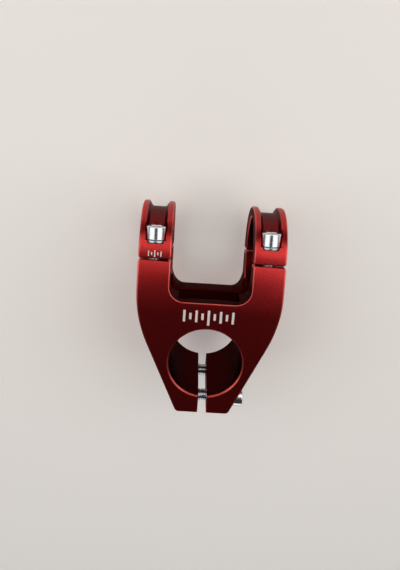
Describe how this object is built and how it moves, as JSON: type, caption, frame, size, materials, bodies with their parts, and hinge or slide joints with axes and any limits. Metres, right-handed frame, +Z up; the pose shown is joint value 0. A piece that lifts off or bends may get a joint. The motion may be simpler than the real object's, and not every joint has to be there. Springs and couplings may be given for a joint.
{
  "type": "bicycle handlebar stem",
  "caption": "Short threadless handlebar stem: a tapered body with a split steerer clamp and two separate screwed caps that hold the handlebar.",
  "frame": {"origin": "on the steerer axis, level with the lower face of the steerer clamp", "axes": "+Z up along the steerer, X along the handlebar with +X on the rider's left, -Y towards the handlebar"},
  "size_m": [0.0552, 0.0781, 0.0514],
  "materials": {
    "anodised_body": "bead-blasted, red anodised",
    "anodised_caps": "bead-blasted, red anodised",
    "polished_screws": "polished stainless steel",
    "plated_washers": "bright plated steel"
  },
  "bodies": {
    "stem": {"stem_body": "anodised_body"},
    "left_cap": {"left_handlebar_cap": "anodised_caps", "left_upper_clamp_washer": "plated_washers", "left_lower_clamp_washer": "plated_washers"},
    "left_upper_screw": {"left_upper_clamp_bolt": "polished_screws"},
    "left_lower_screw": {"left_lower_clamp_bolt": "polished_screws"},
    "right_cap": {"right_handlebar_cap": "anodised_caps", "right_upper_clamp_washer": "plated_washers", "right_lower_clamp_washer": "plated_washers"},
    "right_upper_screw": {"right_upper_clamp_bolt": "polished_screws"},
    "right_lower_screw": {"right_lower_clamp_bolt": "polished_screws"},
    "upper_pinch_seat": {"upper_pinch_washer": "plated_washers"},
    "upper_pinch_screw": {"upper_pinch_bolt": "polished_screws"},
    "lower_pinch_seat": {"lower_pinch_washer": "plated_washers"},
    "lower_pinch_screw": {"lower_pinch_bolt": "polished_screws"}
  },
  "joints": [
    {"name": "left_cap_slide", "type": "slide", "parent": "stem", "child": "left_cap", "axis": [0, -0.9848, -0.1736], "range_m": [0, 0.0096]},
    {"name": "left_upper_screw_turn", "type": "hinge", "parent": "left_cap", "child": "left_upper_screw", "pos_m": [0.02148, -0.03937, 0.03111], "axis": [0, -0.9848, -0.1736], "range_deg": [0, 4325]},
    {"name": "left_lower_screw_turn", "type": "hinge", "parent": "left_cap", "child": "left_lower_screw", "pos_m": [0.02148, -0.03263, -0.00711], "axis": [0, -0.9848, -0.1736], "range_deg": [0, 4325]},
    {"name": "right_cap_slide", "type": "slide", "parent": "stem", "child": "right_cap", "axis": [0, -0.9848, -0.1736], "range_m": [0, 0.0096]},
    {"name": "right_upper_screw_turn", "type": "hinge", "parent": "right_cap", "child": "right_upper_screw", "pos_m": [-0.02148, -0.03937, 0.03111], "axis": [0, -0.9848, -0.1736], "range_deg": [0, 4325]},
    {"name": "right_lower_screw_turn", "type": "hinge", "parent": "right_cap", "child": "right_lower_screw", "pos_m": [-0.02148, -0.03263, -0.00711], "axis": [0, -0.9848, -0.1736], "range_deg": [0, 4325]},
    {"name": "upper_pinch_slide", "type": "slide", "parent": "stem", "child": "upper_pinch_seat", "axis": [-1, 0, 0], "range_m": [0, 0.0072]},
    {"name": "upper_pinch_screw_turn", "type": "hinge", "parent": "upper_pinch_seat", "child": "upper_pinch_screw", "pos_m": [-0.0112, 0.0172, 0.0318], "axis": [-1, 0, 0], "range_deg": [0, 3245]},
    {"name": "lower_pinch_slide", "type": "slide", "parent": "stem", "child": "lower_pinch_seat", "axis": [-1, 0, 0], "range_m": [0, 0.0072]},
    {"name": "lower_pinch_screw_turn", "type": "hinge", "parent": "lower_pinch_seat", "child": "lower_pinch_screw", "pos_m": [-0.0112, 0.0172, 0.0104], "axis": [-1, 0, 0], "range_deg": [0, 3245]}
  ],
  "couplings": [
    {"joint": "left_upper_screw_turn", "follows": "left_cap_slide", "rad_per_m": 7854},
    {"joint": "left_lower_screw_turn", "follows": "left_cap_slide", "rad_per_m": 7854},
    {"joint": "right_upper_screw_turn", "follows": "right_cap_slide", "rad_per_m": 7854},
    {"joint": "right_lower_screw_turn", "follows": "right_cap_slide", "rad_per_m": 7854},
    {"joint": "upper_pinch_screw_turn", "follows": "upper_pinch_slide", "rad_per_m": 7854},
    {"joint": "lower_pinch_screw_turn", "follows": "lower_pinch_slide", "rad_per_m": 7854}
  ]
}
